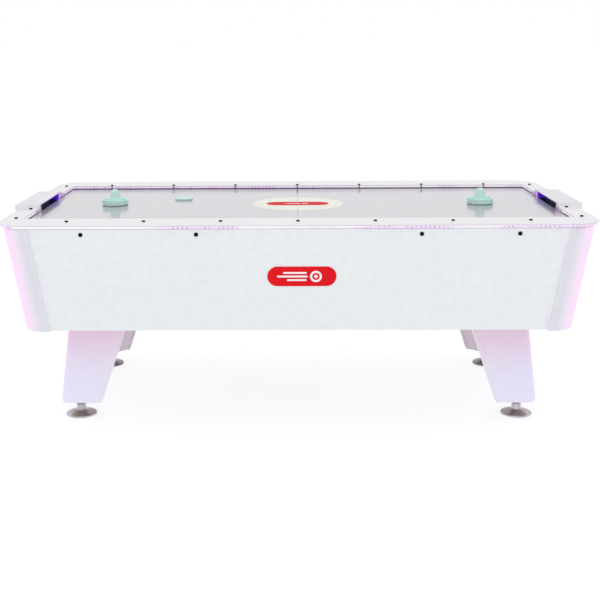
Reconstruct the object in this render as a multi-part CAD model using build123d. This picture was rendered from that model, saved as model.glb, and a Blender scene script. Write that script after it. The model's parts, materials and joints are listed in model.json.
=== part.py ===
from build123d import *
from math import atan, cos, sin, sqrt
import os

# Air hockey table on four tapered pedestal legs.
# Frame: +Z up, +X along the table, floor at Z = 0, origin under the centre. Millimetres.

# ---------------------------------------------------------------- driving dimensions
RAIL_LENGTH = 2240.0
RAIL_WIDTH = 1310.0
RAIL_TOP = 820.0
SIDE_RAIL = 170.0
END_RAIL = 80.0
RAIL_CORNER_R = 130.0
CAP_THICKNESS = 3.0
GUIDE_THICKNESS = 10.0
SEAL_THICKNESS = 2.0
FIELD_THICKNESS = 12.0

CABINET_TOP = 803.0
CABINET_BOTTOM = 409.0
CABINET_TOP_HALF = (1098.0, 637.0)
CABINET_BOTTOM_HALF = (1045.0, 590.0)
PANEL = 18.0
POST_WIDTH = 105.0
POST_R = 85.0
POST_DROP = 5.5
SEAM = 0.4

GOAL_HALF = 190.0
THROAT_HALF = 150.0
HOOD_HALF = 290.0
HOOD_TOP = 834.0
HOOD_BULGE = 19.0
HOOD_SHELL = 4.0
RETURN_OPENING = (230.0, 70.0)
RETURN_CENTRE_Z = 690.0

LEG_TOP_Z = 412.0
LEG_BOTTOM_Z = 64.0
LEG_TOP_CORNER = (913.0, 383.0)
LEG_BOTTOM_CORNER = (954.0, 418.0)
LEG_TOP_WIDTH = 244.0
LEG_BOTTOM_WIDTH = 165.0
LEG_PANEL = 8.0
LEG_RETURN = 50.0
LEG_R = 50.0
LEG_BOLT_OFFSETS = ((-75.0, -28.0), (-28.0, -75.0), (-130.0, -28.0), (-28.0, -130.0))
LEG_BOLT_R = 4.0
LEG_BOLT_HEAD = 5.5
TOP_PLATE = 12.0
FOOT_CENTRE = (880.0, 358.0)
FOOT_R = 62.0
STEM_R = 12.0
NECK_R = 18.5
NECK_TOP = 46.0
STEM_TOP = 140.0
NUT_R = 19.5
NUT_HEIGHT = 8.0
BLOCK_HEIGHT = 40.0

STRIKER_R = 54.0
STRIKER_HEIGHT = 66.0
STRIKER_RIM = 24.0
PUCK_R = 37.5
PUCK_THICKNESS = 7.0
AIR_GAP = 0.3

# ---------------------------------------------------------------- derived sizes
HALF_L = RAIL_LENGTH / 2
HALF_W = RAIL_WIDTH / 2
INNER_X = HALF_L - END_RAIL
INNER_Y = HALF_W - SIDE_RAIL
GUIDE_TOP = RAIL_TOP - CAP_THICKNESS
GUIDE_BOTTOM = GUIDE_TOP - GUIDE_THICKNESS
FIELD_TOP = GUIDE_BOTTOM - SEAL_THICKNESS
FIELD_BOTTOM = FIELD_TOP - FIELD_THICKNESS
CABINET_HEIGHT = CABINET_TOP - CABINET_BOTTOM
SLOPE_X = (CABINET_TOP_HALF[0] - CABINET_BOTTOM_HALF[0]) / CABINET_HEIGHT
SLOPE_Y = (CABINET_TOP_HALF[1] - CABINET_BOTTOM_HALF[1]) / CABINET_HEIGHT
SIDES = (-1, 1)
SIDE_NAME = {-1: "left", 1: "right"}
ROW_NAME = {-1: "front", 1: "rear"}

os.makedirs("parts", exist_ok=True)


# ---------------------------------------------------------------- helpers
def save(node, *solids):
    """Write one node's solids as one STEP file."""
    shape = solids[0] if len(solids) == 1 else Compound(children=list(solids))
    shape.label = node
    export_step(shape, f"parts/{node}.step")


def block(x0, x1, y0, y1, z0, z1):
    size = (abs(x1 - x0), abs(y1 - y0), abs(z1 - z0))
    return Pos((x0 + x1) / 2, (y0 + y1) / 2, (z0 + z1) / 2) * Box(*size)


def rod(x, y, z0, z1, radius):
    return Pos(x, y, (z0 + z1) / 2) * Cylinder(radius, z1 - z0)


def rod_x(x0, x1, y, z, radius):
    return Pos((x0 + x1) / 2, y, z) * Rot(0, 90, 0) * Cylinder(radius, x1 - x0)


def polygon(points, z):
    return Face(Wire.make_polygon([(x, y, z) for x, y in points], close=True))


def tapered(points_at, z0, z1):
    """A straight-sided solid between the outlines points_at(z0) and points_at(z1)."""
    return loft([polygon(points_at(z0), z0), polygon(points_at(z1), z1)], ruled=True)


def flip(shape, side_x=1, side_y=1):
    """Mirror a shape made in the +X, +Y quarter into another quarter."""
    if side_x < 0:
        shape = mirror(shape, about=Plane.YZ)
    if side_y < 0:
        shape = mirror(shape, about=Plane.XZ)
    return shape


def drilled(shape, holes):
    for hole in holes:
        shape -= hole
    return shape


def half_length(z):
    return CABINET_BOTTOM_HALF[0] + SLOPE_X * (z - CABINET_BOTTOM)


def half_width(z):
    return CABINET_BOTTOM_HALF[1] + SLOPE_Y * (z - CABINET_BOTTOM)


def rounded_prism(half_x, half_y, radius, z0, z1):
    return Pos(0, 0, z0) * extrude(RectangleRounded(2 * half_x, 2 * half_y, radius), z1 - z0)


def x_prism(width, height, radius, centre_z, x0, x1):
    """A rounded rectangle in the YZ plane, extruded along X."""
    outline = Plane((x0, 0, centre_z), x_dir=(0, 1, 0), z_dir=(1, 0, 0))
    return extrude(outline * RectangleRounded(width, height, radius), x1 - x0)


# ---------------------------------------------------------------- cabinet
def make_side_panels():
    def outline(z):
        x = half_length(z) - POST_WIDTH - SEAM
        y = half_width(z)
        return [(-x, y - PANEL), (x, y - PANEL), (x, y), (-x, y)]

    panel = tapered(outline, CABINET_BOTTOM, CABINET_TOP)
    save("front_panel", flip(panel, 1, -1))
    save("rear_panel", panel - inlet_cutout())


def make_end_panels():
    def outline(z):
        x = half_length(z)
        y = half_width(z) - POST_WIDTH - SEAM
        return [(x - PANEL, -y), (x, -y), (x, y), (x - PANEL, y)]

    panel = tapered(outline, CABINET_BOTTOM, CABINET_TOP)
    panel -= x_prism(*RETURN_OPENING, 15, RETURN_CENTRE_Z, 1000, HALF_L)
    for side in SIDES:
        save(f"{SIDE_NAME[side]}_end_panel", flip(panel, side))


def make_corner_posts():
    bottom = CABINET_BOTTOM - POST_DROP
    x = half_length(bottom)
    y = half_width(bottom)
    outline = [
        (x - POST_WIDTH, y),
        (x, y),
        (x, y - POST_WIDTH),
        (x - PANEL, y - POST_WIDTH),
        (x - PANEL, y - PANEL),
        (x - POST_WIDTH, y - PANEL),
    ]
    section = Sketch() + polygon(outline, bottom)
    corners = section.vertices().sort_by(lambda v: v.X + v.Y)
    section = fillet(corners[-1], POST_R)
    inner = section.vertices().sort_by_distance((x - PANEL, y - PANEL, bottom))[0]
    section = fillet(inner, POST_R - PANEL)
    rise = CABINET_TOP - bottom
    run = Vector(SLOPE_X * rise, SLOPE_Y * rise, rise)
    post = extrude(section, amount=run.length, dir=run.normalized())
    for side_y in SIDES:
        for side_x in SIDES:
            name = f"{ROW_NAME[side_y]}_{SIDE_NAME[side_x]}_corner_post"
            save(name, flip(post, side_x, side_y))


BOTTOM_Z = 412.0
BOTTOM_THICKNESS = 15.0
BOTTOM_HALF = (1026.0, 571.0)
INTAKE = (-270.0, -90.0, 90.0)
GRILLE_BORDER = 15.0
GRILLE_SLOTS = 9


def make_floor():
    x0, x1, y = INTAKE
    floor = rounded_prism(*BOTTOM_HALF, 72, BOTTOM_Z, BOTTOM_Z + BOTTOM_THICKNESS)
    floor -= block(x0, x1, -y, y, BOTTOM_Z - 1, BOTTOM_Z + BOTTOM_THICKNESS + 1)
    save("bottom_panel", floor)

    edge = GRILLE_BORDER
    grille = block(x0 - edge, x1 + edge, -y - edge, y + edge, BOTTOM_Z - 3, BOTTOM_Z)
    pitch = (x1 - x0) / GRILLE_SLOTS
    for i in range(GRILLE_SLOTS):
        x = x0 + pitch * (i + 0.5)
        grille -= block(x - pitch * 0.3, x + pitch * 0.3, -y + 4, y - 4, BOTTOM_Z - 4, BOTTOM_Z + 1)
    save("intake_grille", grille)


# ---------------------------------------------------------------- playing field and air chamber
FIELD_HALF = (1050.0, 520.0)
EMBLEM_R = 190.0
EMBLEM_DEPTH = 1.0
EMBLEM_RIM = 10.0
LINE_WIDTH = 4.0
CHAMBER_HALF = (945.0, 500.0)
CHAMBER_BASE = (721.0, 733.0)
DUCT = (-45.0, 35.0, 22.0, 118.0)
RIB_XS = (-660.0, -330.0, 330.0, 660.0)


def make_field():
    x, y = FIELD_HALF
    field = block(-x, x, -y, y, FIELD_BOTTOM, FIELD_TOP)
    for side in SIDES:
        notch = block(INNER_X, x + 1, -THROAT_HALF - 3, THROAT_HALF + 3, FIELD_BOTTOM - 1, FIELD_TOP + 1)
        field -= flip(notch, side)
    line = block(-LINE_WIDTH / 2, LINE_WIDTH / 2, -INNER_Y, INNER_Y, FIELD_TOP - EMBLEM_DEPTH, FIELD_TOP)
    disc = rod(0, 0, FIELD_TOP - EMBLEM_DEPTH, FIELD_TOP, EMBLEM_R)
    rim = rod(0, 0, FIELD_TOP - EMBLEM_DEPTH, FIELD_TOP, EMBLEM_R + EMBLEM_RIM) - disc
    field -= line
    field -= disc
    field -= rim
    save("field_board", drilled(field, screw_holes()))
    save("centre_emblem", disc)
    lines = line - disc - rim
    save("field_markings", rim, *lines.solids())


def make_air_chamber():
    x, y = CHAMBER_HALF
    z0, z1 = CHAMBER_BASE
    dx0, dx1, dy0, dy1 = DUCT
    base = block(-x, x, -y, y, z0, z1) - block(dx0, dx1, dy0, dy1, z0 - 1, z1 + 1)
    save("chamber_base", base)

    strip = 18.0
    pieces = []
    for side in SIDES:
        side_strip = flip(block(-x, x, y - strip, y, z1, FIELD_BOTTOM), 1, side)
        pieces.append(drilled(side_strip, screw_holes()))
        pieces.append(flip(block(x - strip, x, -y + strip, y - strip, z1, FIELD_BOTTOM), side))
    for rib_x in RIB_XS:
        rib = block(rib_x - 6, rib_x + 6, -y + strip, y - strip, z1, FIELD_BOTTOM)
        for hole_y in (-300, -100, 100, 300):
            rib -= rod_x(rib_x - 7, rib_x + 7, hole_y, (z1 + FIELD_BOTTOM) / 2, 20)
        pieces.append(rib)
    save("chamber_frame", *pieces)


# ---------------------------------------------------------------- rails
SCREW_PITCH = 287.0
SIDE_SCREW_YS = (-563.0, 495.0)
END_SCREW_X = 1070.0
END_SCREW_YS = (236.0, 475.0)
SCREW_R = 3.0
SCREW_HOLE_R = 3.2
SCREW_HEAD_R = 6.5
SCREW_HEAD = 4.6
SCREW_BOTTOM = 790.0
BED_BOTTOM = 765.0
LED_Y = 600.0
LED_HALF_LENGTH = 980.0


def screw_places():
    """The front row runs down the middle of its rail, the rear row along the inner edge."""
    side_rows = [(k * SCREW_PITCH, y) for y in SIDE_SCREW_YS for k in range(-3, 4)]
    end_rows = [(sx * END_SCREW_X, sy * y) for sx in SIDES for sy in SIDES for y in END_SCREW_YS]
    return side_rows + end_rows


def screw_holes():
    return [rod(x, y, SCREW_BOTTOM - 2, HOOD_TOP, SCREW_HOLE_R) for x, y in screw_places()]


def rail_layer(inset, outer_half, z0, z1):
    """The rear, C-shaped half of one rail layer: a side rail and its two end arms."""
    radius = max(RAIL_CORNER_R - (HALF_L - outer_half[0]), 20)
    layer = rounded_prism(*outer_half, radius, z0, z1)
    layer -= block(-INNER_X - inset, INNER_X + inset, -INNER_Y - inset, INNER_Y + inset, z0 - 1, z1 + 1)
    return layer - block(-HALF_L, HALF_L, -HALF_W, HOOD_HALF + SEAM, z0 - 1, z1 + 1)


def make_rails():
    holes = screw_holes()
    slot_x = LED_HALF_LENGTH + 1
    led_slot = block(-slot_x, slot_x, LED_Y - 5, LED_Y + 5, FIELD_TOP - 1, GUIDE_BOTTOM + 1)
    cap = rail_layer(0, (HALF_L, HALF_W), GUIDE_TOP, RAIL_TOP)
    long_edges = cap.edges().filter_by(lambda e: e.length > RAIL_LENGTH / 2)
    cap = fillet(long_edges.filter_by(lambda e: e.center().Z > RAIL_TOP - 0.1), 1.2)
    guide = rail_layer(1, (HALF_L - 1, HALF_W - 1), GUIDE_BOTTOM, GUIDE_TOP)
    seal = rail_layer(1.5, (CABINET_TOP_HALF[0] - 2, CABINET_TOP_HALF[1] - 2), FIELD_TOP, GUIDE_BOTTOM)
    seal -= led_slot
    led_x = LED_HALF_LENGTH
    led = block(-led_x, led_x, LED_Y - 4, LED_Y + 4, FIELD_TOP + 0.2, GUIDE_BOTTOM - 0.2)
    for side in SIDES:
        save(f"{ROW_NAME[side]}_rail_cap", drilled(flip(cap, 1, side), holes))
        save(f"{ROW_NAME[side]}_light_guide", drilled(flip(guide, 1, side), holes))
    seals = [drilled(flip(solid, 1, side), holes) for side in SIDES for solid in seal.solids()]
    save("rail_seals", *seals)
    save("led_strips", *[flip(led, 1, side) for side in SIDES])


def make_rail_beds():
    def side_outline(z):
        x = 980.0
        y = half_width(z) - PANEL - 0.5
        return [(-x, FIELD_HALF[1] + 1), (x, FIELD_HALF[1] + 1), (x, y), (-x, y)]

    def end_outline(z):
        x = half_length(z) - PANEL - 0.5
        return [(FIELD_HALF[0] + 1, 200), (x, 200), (x, 500), (FIELD_HALF[0] + 1, 500)]

    side_bed = tapered(side_outline, BED_BOTTOM, FIELD_TOP)
    end_bed = tapered(end_outline, BED_BOTTOM, FIELD_TOP)
    beds = [flip(side_bed, 1, s) for s in SIDES]
    beds += [flip(end_bed, sx, sy) for sx in SIDES for sy in SIDES]
    holes = screw_holes()
    save("rail_beds", *[drilled(bed, holes) for bed in beds])


def make_rail_screws():
    screws = []
    for x, y in screw_places():
        head = rod(x, y, RAIL_TOP, RAIL_TOP + SCREW_HEAD, SCREW_HEAD_R)
        head = fillet(head.edges().sort_by(Axis.Z)[-1], 2.2)
        socket = Pos(x, y, RAIL_TOP + SCREW_HEAD - 2) * extrude(RegularPolygon(2.2, 6), 3)
        screws.append(head - socket + rod(x, y, SCREW_BOTTOM, RAIL_TOP, SCREW_R))
    save("rail_screws", *screws)


# ---------------------------------------------------------------- goals
CHEEK_R = GOAL_HALF - THROAT_HALF
OGEE_LENGTH = 85.0
HOOD_FOOT = ((INNER_X - 1, 229.0), (1082.0, 229.0), (1118.0, 289.0), (1160.0, 289.0))
HOOD_CREST = ((INNER_X - 1, 204.0), (1088.0, 204.0), (1106.0, 204.0), (1160.0, 204.0))
POCKET_X = 1085.0
BOX_WALL = 3.0


def goal_plan(z, x_limit):
    """The mouth's outline: wide at the playing face, narrowing round each cheek to the throat."""
    outline = Polyline((x_limit, THROAT_HALF), (INNER_X + CHEEK_R, THROAT_HALF))
    cheek = RadiusArc((INNER_X + CHEEK_R, THROAT_HALF), (INNER_X, GOAL_HALF), CHEEK_R)
    mouth = Polyline(
        (INNER_X, GOAL_HALF),
        (INNER_X - 10, GOAL_HALF),
        (INNER_X - 10, -GOAL_HALF),
        (INNER_X, -GOAL_HALF),
    )
    far_cheek = RadiusArc((INNER_X, -GOAL_HALF), (INNER_X + CHEEK_R, -THROAT_HALF), CHEEK_R)
    back = Polyline((INNER_X + CHEEK_R, -THROAT_HALF), (x_limit, -THROAT_HALF), (x_limit, THROAT_HALF))
    return Pos(0, 0, z) * make_face([outline, cheek, mouth, far_cheek, back])


def raised_outline(z):
    """The hood's raised middle in plan: sloping ends that fan out towards the outer edge."""
    t = (z - RAIL_TOP) / (HOOD_TOP - RAIL_TOP)
    pairs = list(zip(HOOD_FOOT, HOOD_CREST))
    right = [(fx + t * (cx - fx), fy + t * (cy - fy)) for (fx, fy), (cx, cy) in pairs]
    return right + [(x, -y) for x, y in reversed(right)]


def make_hood():
    bulge_x = HALF_L + HOOD_BULGE
    bulge_y = HOOD_HALF - OGEE_LENGTH
    y = HOOD_HALF
    front = Polyline((HALF_L, -y), (INNER_X, -y), (INNER_X, y), (HALF_L, y))
    down = (0, -1)
    ogee_far = Spline((HALF_L, HOOD_HALF), (bulge_x, bulge_y), tangents=(down, down))
    outer = Line((bulge_x, bulge_y), (bulge_x, -bulge_y))
    ogee_near = Spline((bulge_x, -bulge_y), (HALF_L, -HOOD_HALF), tangents=(down, down))
    bottom = FIELD_TOP + 0.2
    plan = Pos(0, 0, bottom) * make_face([front, ogee_far, outer, ogee_near])
    body = extrude(plan, HOOD_TOP - bottom)

    rim = body.edges().filter_by(lambda e: e.center().Z > HOOD_TOP - 0.1)
    body = fillet(rim.filter_by(lambda e: e.center().X > HALF_L + 0.1), 3)
    base = block(INNER_X - 1, bulge_x + 1, -HOOD_HALF - 1, HOOD_HALF + 1, bottom - 1, RAIL_TOP)
    body = body & (base + tapered(raised_outline, RAIL_TOP, HOOD_TOP))

    roof = HOOD_TOP - HOOD_SHELL
    upper = extrude(goal_plan(FIELD_TOP + 5, bulge_x - HOOD_SHELL), roof - FIELD_TOP - 5)
    lower = extrude(goal_plan(FIELD_TOP - 5, POCKET_X), 11)
    mouth_profile = Plane((INNER_X - 20, 0, 0), x_dir=(0, 1, 0), z_dir=(1, 0, 0))
    arch = mouth_profile * Pos(0, roof - 40) * RectangleRounded(2 * GOAL_HALF, 80, 14)
    cavity = (upper + lower) & extrude(arch, END_RAIL + HOOD_BULGE + 30)
    return drilled(body - cavity, screw_holes())


def make_goal_box():
    """The puck's chute: down behind the goal line, then out to the return opening."""
    drop = half_length(CABINET_TOP) - PANEL - 1
    low_z = RETURN_CENTRE_Z - RETURN_OPENING[1] / 2 - 10
    low_x = drop - SLOPE_X * (CABINET_TOP - low_z)
    outline = Polyline(
        (INNER_X + 0.5, CABINET_TOP),
        (drop, CABINET_TOP),
        (low_x, low_z),
        (low_x - 92, low_z + 12),
        (low_x - 92, low_z + 60),
        (INNER_X + 0.5, CABINET_TOP - 35),
        close=True,
    )
    side_plane = Plane((0, THROAT_HALF + BOX_WALL, 0), x_dir=(1, 0, 0), z_dir=(0, -1, 0))
    shell = extrude(side_plane * make_face(outline), 2 * (THROAT_HALF + BOX_WALL))
    inner_plane = Plane((0, THROAT_HALF, 0), x_dir=(1, 0, 0), z_dir=(0, -1, 0))
    hollow = extrude(inner_plane * offset(make_face(outline), -BOX_WALL), 2 * THROAT_HALF)
    shell -= hollow
    top_x0 = INNER_X + 0.5 + BOX_WALL
    top_x1 = drop - BOX_WALL - 1
    shell -= block(top_x0, top_x1, -THROAT_HALF, THROAT_HALF, CABINET_TOP - 5, CABINET_TOP + 1)
    shell -= x_prism(RETURN_OPENING[0] - 8, RETURN_OPENING[1] - 8, 11, RETURN_CENTRE_Z, 1010, HALF_L)
    return shell


def make_return_bezel():
    def flange_outline(z):
        x = half_length(z)
        return [(x + 0.05, -200), (x + 3, -200), (x + 3, 200), (x + 0.05, 200)]

    def sleeve_outline(z):
        x = half_length(z)
        return [(x - PANEL, -200), (x + 0.1, -200), (x + 0.1, 200), (x - PANEL, 200)]

    def prism(growth, radius):
        return x_prism(width + growth, height + growth, radius, RETURN_CENTRE_Z, 990, HALF_L + 20)

    width, height = RETURN_OPENING
    flange = tapered(flange_outline, 600, 780) & prism(24, 26)
    sleeve = tapered(sleeve_outline, 600, 780) & prism(-0.4, 14.8)
    return flange + sleeve - prism(-8, 11)


def make_goals():
    hood = make_hood()
    box = make_goal_box()
    bezel = make_return_bezel()
    wall_x = HALF_L + HOOD_BULGE - HOOD_SHELL
    light = block(wall_x - 2, wall_x, -120, 120, HOOD_TOP - 14, HOOD_TOP - 8)
    for side in SIDES:
        save(f"{SIDE_NAME[side]}_goal_hood", flip(hood, side))
        save(f"{SIDE_NAME[side]}_goal_box", flip(box, side))
    save("return_bezels", *[flip(bezel, side) for side in SIDES])
    save("goal_lights", *[flip(light, side) for side in SIDES])


# ---------------------------------------------------------------- apron trim
CAP_XS = (-797.0, -373.0, 452.0, 809.0)
APRON_CAP_Z = 783.0
BADGE_SIZE = (256.0, 76.0)
BADGE_X = 14.0
BADGE_Z = 622.0


def face_plane(x, z, side):
    """A plane on the front (-1) or rear (+1) face of the cabinet, its Z pointing out."""
    lean = atan(SLOPE_Y)
    normal = (0, side * cos(lean), -sin(lean))
    return Plane((x, side * half_width(z), z), x_dir=(-side, 0, 0), z_dir=normal)


def make_apron_trim():
    caps = []
    for side in SIDES:
        for x in CAP_XS:
            cap = Pos(0, 0, 1.25) * Cylinder(8, 2.5)
            cap = fillet(cap.edges().sort_by(Axis.Z)[-1], 1.5)
            caps.append(face_plane(-side * x, APRON_CAP_Z, side).location * cap)
    save("apron_caps", *caps)

    badge = extrude(SlotOverall(*BADGE_SIZE), 2)
    badge = fillet(badge.edges().group_by(Axis.Z)[-1], 0.6)
    save("front_badge", face_plane(BADGE_X, BADGE_Z, -1).location * badge)


# ---------------------------------------------------------------- legs
DIAGONAL = LEG_PANEL * sqrt(2)


def leg_at(z):
    """The leg's outer corner and side width at one height."""
    t = (z - LEG_BOTTOM_Z) / (LEG_TOP_Z - LEG_BOTTOM_Z)
    x = LEG_BOTTOM_CORNER[0] + t * (LEG_TOP_CORNER[0] - LEG_BOTTOM_CORNER[0])
    y = LEG_BOTTOM_CORNER[1] + t * (LEG_TOP_CORNER[1] - LEG_BOTTOM_CORNER[1])
    return x, y, LEG_BOTTOM_WIDTH + t * (LEG_TOP_WIDTH - LEG_BOTTOM_WIDTH)


def leg_shell_section(z):
    """Two outer sides round the rounded corner, each turned in at its far end by a short return."""
    x, y, width = leg_at(z)
    near = width - LEG_PANEL
    outline = [
        (x - width, y),
        (x, y),
        (x, y - width),
        (x - LEG_RETURN, y - width),
        (x - LEG_RETURN, y - near),
        (x - LEG_PANEL, y - near),
        (x - LEG_PANEL, y - LEG_PANEL),
        (x - near, y - LEG_PANEL),
        (x - near, y - LEG_RETURN),
        (x - width, y - LEG_RETURN),
    ]
    section = Sketch() + polygon(outline, z)
    section = fillet(section.vertices().sort_by(lambda v: v.X + v.Y)[-1], LEG_R)
    inner = section.vertices().sort_by_distance((x - LEG_PANEL, y - LEG_PANEL, z))[0]
    return fillet(inner, LEG_R - LEG_PANEL)


def leg_back_outline(z):
    x, y, width = leg_at(z)
    near = width - LEG_PANEL
    return [
        (x - near, y - LEG_RETURN),
        (x - LEG_RETURN, y - near),
        (x - LEG_RETURN + DIAGONAL, y - near),
        (x - near, y - LEG_RETURN + DIAGONAL),
    ]


def leg_fill_outline(z):
    """The hollow's plan at one height, a little clear of the panels."""
    x, y, width = leg_at(z)
    gap = LEG_PANEL + 0.3
    far = width - LEG_PANEL - DIAGONAL - 0.5
    return [
        (x - far, y - gap),
        (x - gap, y - far),
        (x - gap, y - LEG_R),
        (x - LEG_R, y - gap),
    ]


def make_leveler():
    profile = Polyline((0, 0), (FOOT_R - 1, 0), (FOOT_R, 1), (FOOT_R, 6), (FOOT_R - 1.5, 7.5))
    dome = Spline((FOOT_R - 1.5, 7.5), (NECK_R + 8, 17), (NECK_R, 22))
    neck = Polyline(
        (NECK_R, 22),
        (NECK_R, NECK_TOP),
        (STEM_R, NECK_TOP),
        (STEM_R, STEM_TOP - 1),
        (STEM_R - 1, STEM_TOP),
        (0, STEM_TOP),
        (0, 0),
    )
    return revolve(Plane.XZ * make_face([profile, dome, neck]), Axis.Z)


def make_legs():
    shell = loft([leg_shell_section(LEG_BOTTOM_Z), leg_shell_section(LEG_TOP_Z)], ruled=True)
    back = tapered(leg_back_outline, LEG_BOTTOM_Z + 1, LEG_TOP_Z - 0.5)
    plate_z = LEG_TOP_Z - TOP_PLATE
    plate = tapered(leg_fill_outline, plate_z, LEG_TOP_Z)
    x, y, _ = leg_at(LEG_TOP_Z)
    bolts = []
    for dx, dy in LEG_BOLT_OFFSETS:
        bolt_x, bolt_y = x + dx, y + dy
        plate -= rod(bolt_x, bolt_y, plate_z - 1, LEG_TOP_Z + 1, LEG_BOLT_R + 0.2)
        head = extrude(RegularPolygon(7.5, 6), LEG_BOLT_HEAD)
        head = Pos(bolt_x, bolt_y, plate_z - LEG_BOLT_HEAD) * head
        bolts.append(head + rod(bolt_x, bolt_y, plate_z, LEG_TOP_Z, LEG_BOLT_R))

    fx, fy = FOOT_CENTRE
    foot_block = tapered(leg_fill_outline, LEG_BOTTOM_Z + 1, LEG_BOTTOM_Z + 1 + BLOCK_HEIGHT)
    foot_block -= rod(fx, fy, LEG_BOTTOM_Z, LEG_BOTTOM_Z + BLOCK_HEIGHT + 5, STEM_R + 0.3)
    nut_bottom = LEG_BOTTOM_Z - NUT_HEIGHT + 0.9
    nut = Pos(fx, fy, nut_bottom) * extrude(RegularPolygon(NUT_R, 6), NUT_HEIGHT)
    nut -= rod(fx, fy, nut_bottom - 1, LEG_BOTTOM_Z + 2, STEM_R + 0.3)
    leveler = Pos(fx, fy, 0) * make_leveler()

    quarters = [(sx, sy) for sy in SIDES for sx in SIDES]
    for sx, sy in quarters:
        place = f"{ROW_NAME[sy]}_{SIDE_NAME[sx]}"
        save(f"{place}_leg_shell", flip(shell, sx, sy))
        save(f"{place}_leveler", flip(leveler, sx, sy))
    save("leg_backs", *[flip(back, *q) for q in quarters])
    save("leg_top_plates", *[flip(plate, *q) for q in quarters])
    save("leg_bolts", *[flip(bolt, *q) for q in quarters for bolt in bolts])
    save("foot_blocks", *[flip(foot_block, *q) for q in quarters])
    save("lock_nuts", *[flip(nut, *q) for q in quarters])


# ---------------------------------------------------------------- blower
BLOWER_Z = 560.0
SCROLL_R = 120.0
SCROLL_X = (-60.0, 50.0)
IMPELLER_R = 88.0
IMPELLER_X = (-48.0, 38.0)
BLADES = 24
SHAFT_R = 4.0
INTAKE_R = 62.0
HUB_R = 13.0
HUB_LENGTH = 25.0
SHAFT_END = 110.0
MOTOR_R = 48.0
MOTOR_X = (50.5, 145.0)


def make_blower():
    x0, x1 = SCROLL_X
    wall = 3.0
    duct_top = CHAMBER_BASE[0]
    outer = rod_x(x0, x1, 0, BLOWER_Z, SCROLL_R) + block(x0, x1, 20, SCROLL_R, BLOWER_Z, duct_top)
    inner = rod_x(x0 + wall, x1 - wall, 0, BLOWER_Z, SCROLL_R - wall)
    inner += block(x0 + wall, x1 - wall, 20 + wall, SCROLL_R - wall, BLOWER_Z, duct_top + 1)
    intake = rod_x(x0 - 1, x0 + wall + 1, 0, BLOWER_Z, INTAKE_R)
    shaft_hole = rod_x(x1 - wall - 1, x1 + 1, 0, BLOWER_Z, 2 * SHAFT_R)
    save("blower_housing", outer - inner - intake - shaft_hole)

    ix0, ix1 = IMPELLER_X
    impeller = rod_x(ix1 - 3, ix1, 0, BLOWER_Z, IMPELLER_R)
    front_ring = rod_x(ix0, ix0 + 3, 0, BLOWER_Z, IMPELLER_R)
    impeller += front_ring - rod_x(ix0 - 1, ix0 + 4, 0, BLOWER_Z, IMPELLER_R - 16)
    impeller += rod_x(ix1 - HUB_LENGTH, ix1, 0, BLOWER_Z, HUB_R)
    blade = Pos((ix0 + ix1) / 2, 0, IMPELLER_R - 9) * Rot(25, 0, 0) * Box(ix1 - ix0, 2, 14)
    for i in range(BLADES):
        impeller += Pos(0, 0, BLOWER_Z) * Rot(360 / BLADES * i, 0, 0) * blade
    impeller -= rod_x(ix0 - 1, ix1 + 1, 0, BLOWER_Z, SHAFT_R)
    save("blower_impeller", impeller)
    save("blower_shaft", rod_x(ix1 - HUB_LENGTH, SHAFT_END, 0, BLOWER_Z, SHAFT_R))

    mx0, mx1 = MOTOR_X
    motor = rod_x(mx0, mx1, 0, BLOWER_Z, MOTOR_R)
    motor = fillet(motor.edges().sort_by(Axis.X)[-1], 8)
    for i in range(5):
        x = mx0 + 15 + 14 * i
        groove = rod_x(x, x + 6, 0, BLOWER_Z, MOTOR_R + 1)
        motor -= groove - rod_x(x - 1, x + 7, 0, BLOWER_Z, MOTOR_R - 3)
    motor -= rod_x(mx0 - 1, SHAFT_END + 2, 0, BLOWER_Z, SHAFT_R + 0.3)
    save("blower_motor", motor)

    floor = BOTTOM_Z + BOTTOM_THICKNESS
    saddle = block(x0 - 15, x1 + 15, -100, 100, floor, floor + 5)
    saddle += block(x0, x1, -50, 50, floor, floor + 40)
    saddle -= rod_x(x0 - 1, x1 + 1, 0, BLOWER_Z, SCROLL_R + 0.1)
    save("blower_saddle", saddle)


# ---------------------------------------------------------------- mains inlet and supply
INLET_X = -700.0
INLET_Z = 470.0
INLET_OFFSET = 20.0
ROCKER_OFFSET = -27.0
ROCKER_HALF = (8.5, 11.0)
ROCKER_PIN = (10.0, 1.8)
SUPPLY = (-800.0, -640.0, 380.0, 470.0)
SUPPLY_HEIGHT = 55.0


def inlet_cutout():
    place = face_plane(INLET_X, INLET_Z, 1).location
    return place * (Pos(0, 0, -20) * extrude(Rectangle(92, 34), 30))


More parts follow.
